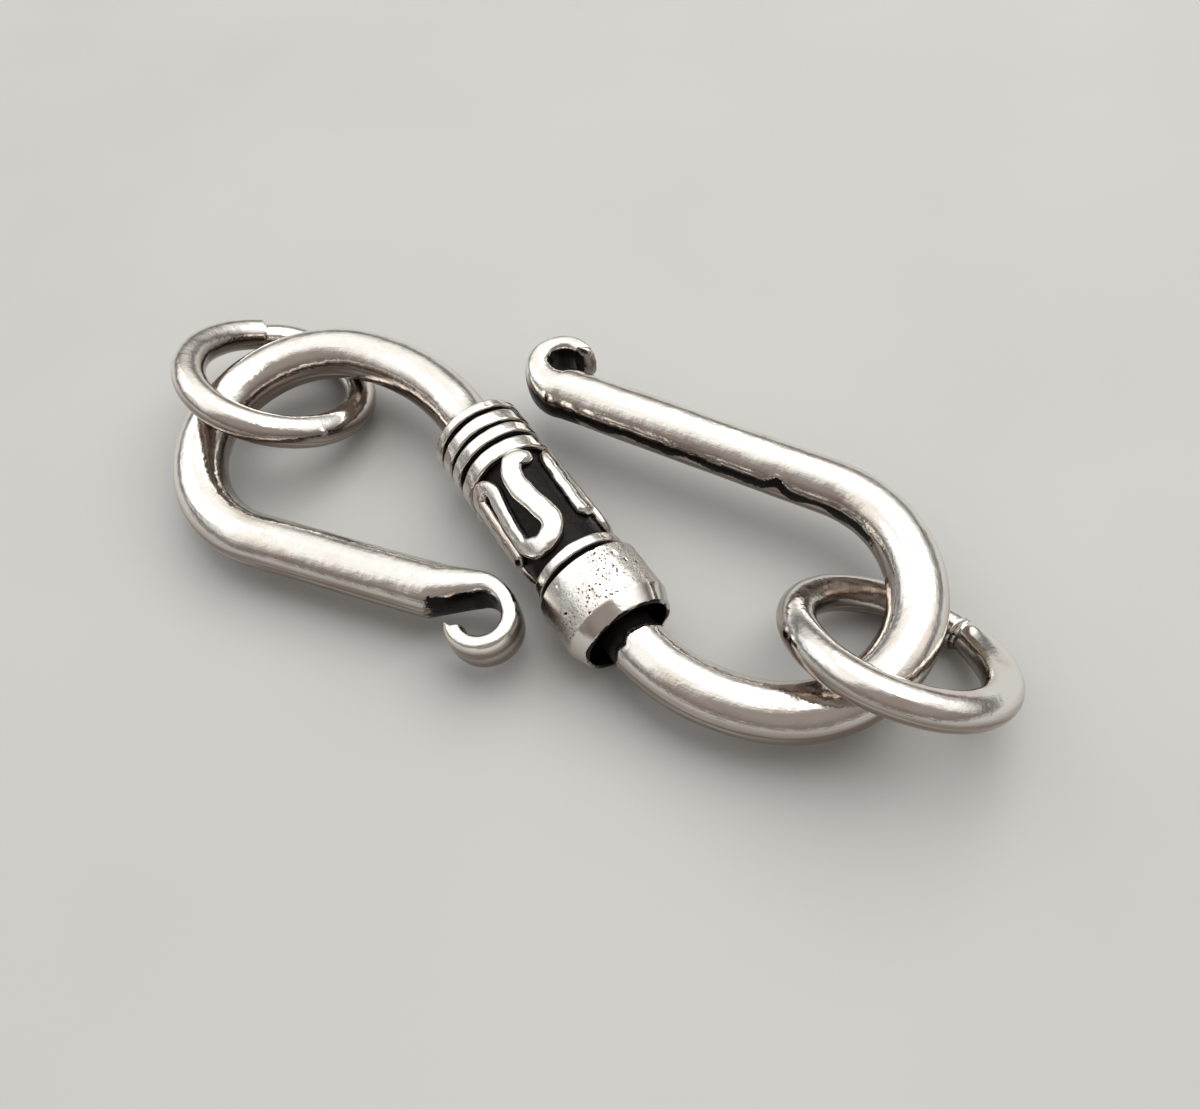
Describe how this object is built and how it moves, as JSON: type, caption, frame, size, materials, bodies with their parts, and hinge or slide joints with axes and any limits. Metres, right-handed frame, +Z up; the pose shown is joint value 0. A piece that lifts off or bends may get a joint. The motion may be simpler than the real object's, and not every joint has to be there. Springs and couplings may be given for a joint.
{
  "type": "s-hook clasp",
  "caption": "Flat S-shaped hook clasp of round wire with curled tips, a scrolled bead on its middle and a closed jump ring loose on each bend.",
  "frame": {"origin": "on the table below the middle of the hook's wire, which is the bottom centre of the clasp's box", "axes": "+X along the bead, toward the half that leaves the banded end; +Z up from the table that the clasp lies on"},
  "size_m": [0.0317, 0.0217, 0.0052],
  "materials": {
    "polished_silver": "polished sterling silver with fine draw marks and small dents",
    "oxidised_silver": "blackened silver in the sunk ground of the bead",
    "pitted_silver": "cast silver with fine black pits"
  },
  "bodies": {
    "hook": {"hook_wire": "polished_silver", "bead_sleeve": "oxidised_silver", "end_band_1": "polished_silver", "end_band_2": "polished_silver", "end_band_3": "polished_silver", "end_band_4": "polished_silver", "scroll_1": "polished_silver", "scroll_2": "polished_silver", "scroll_3": "polished_silver", "lower_band": "polished_silver", "end_collar": "pitted_silver"},
    "left_ring": {"left_jump_ring": "polished_silver"},
    "right_ring": {"right_jump_ring": "polished_silver"}
  },
  "joints": [
    {"name": "left_ring_swing", "type": "hinge", "parent": "hook", "child": "left_ring", "pos_m": [0.01134, 0.0024, 0.0007], "axis": [0.9769, -0.1802, -0.1146], "range_deg": [0, 75]},
    {"name": "right_ring_swing", "type": "hinge", "parent": "hook", "child": "right_ring", "pos_m": [-0.00999, -0.00892, 0.00068], "axis": [0.8269, 0.5547, 0.0926], "range_deg": [0, 75]}
  ]
}
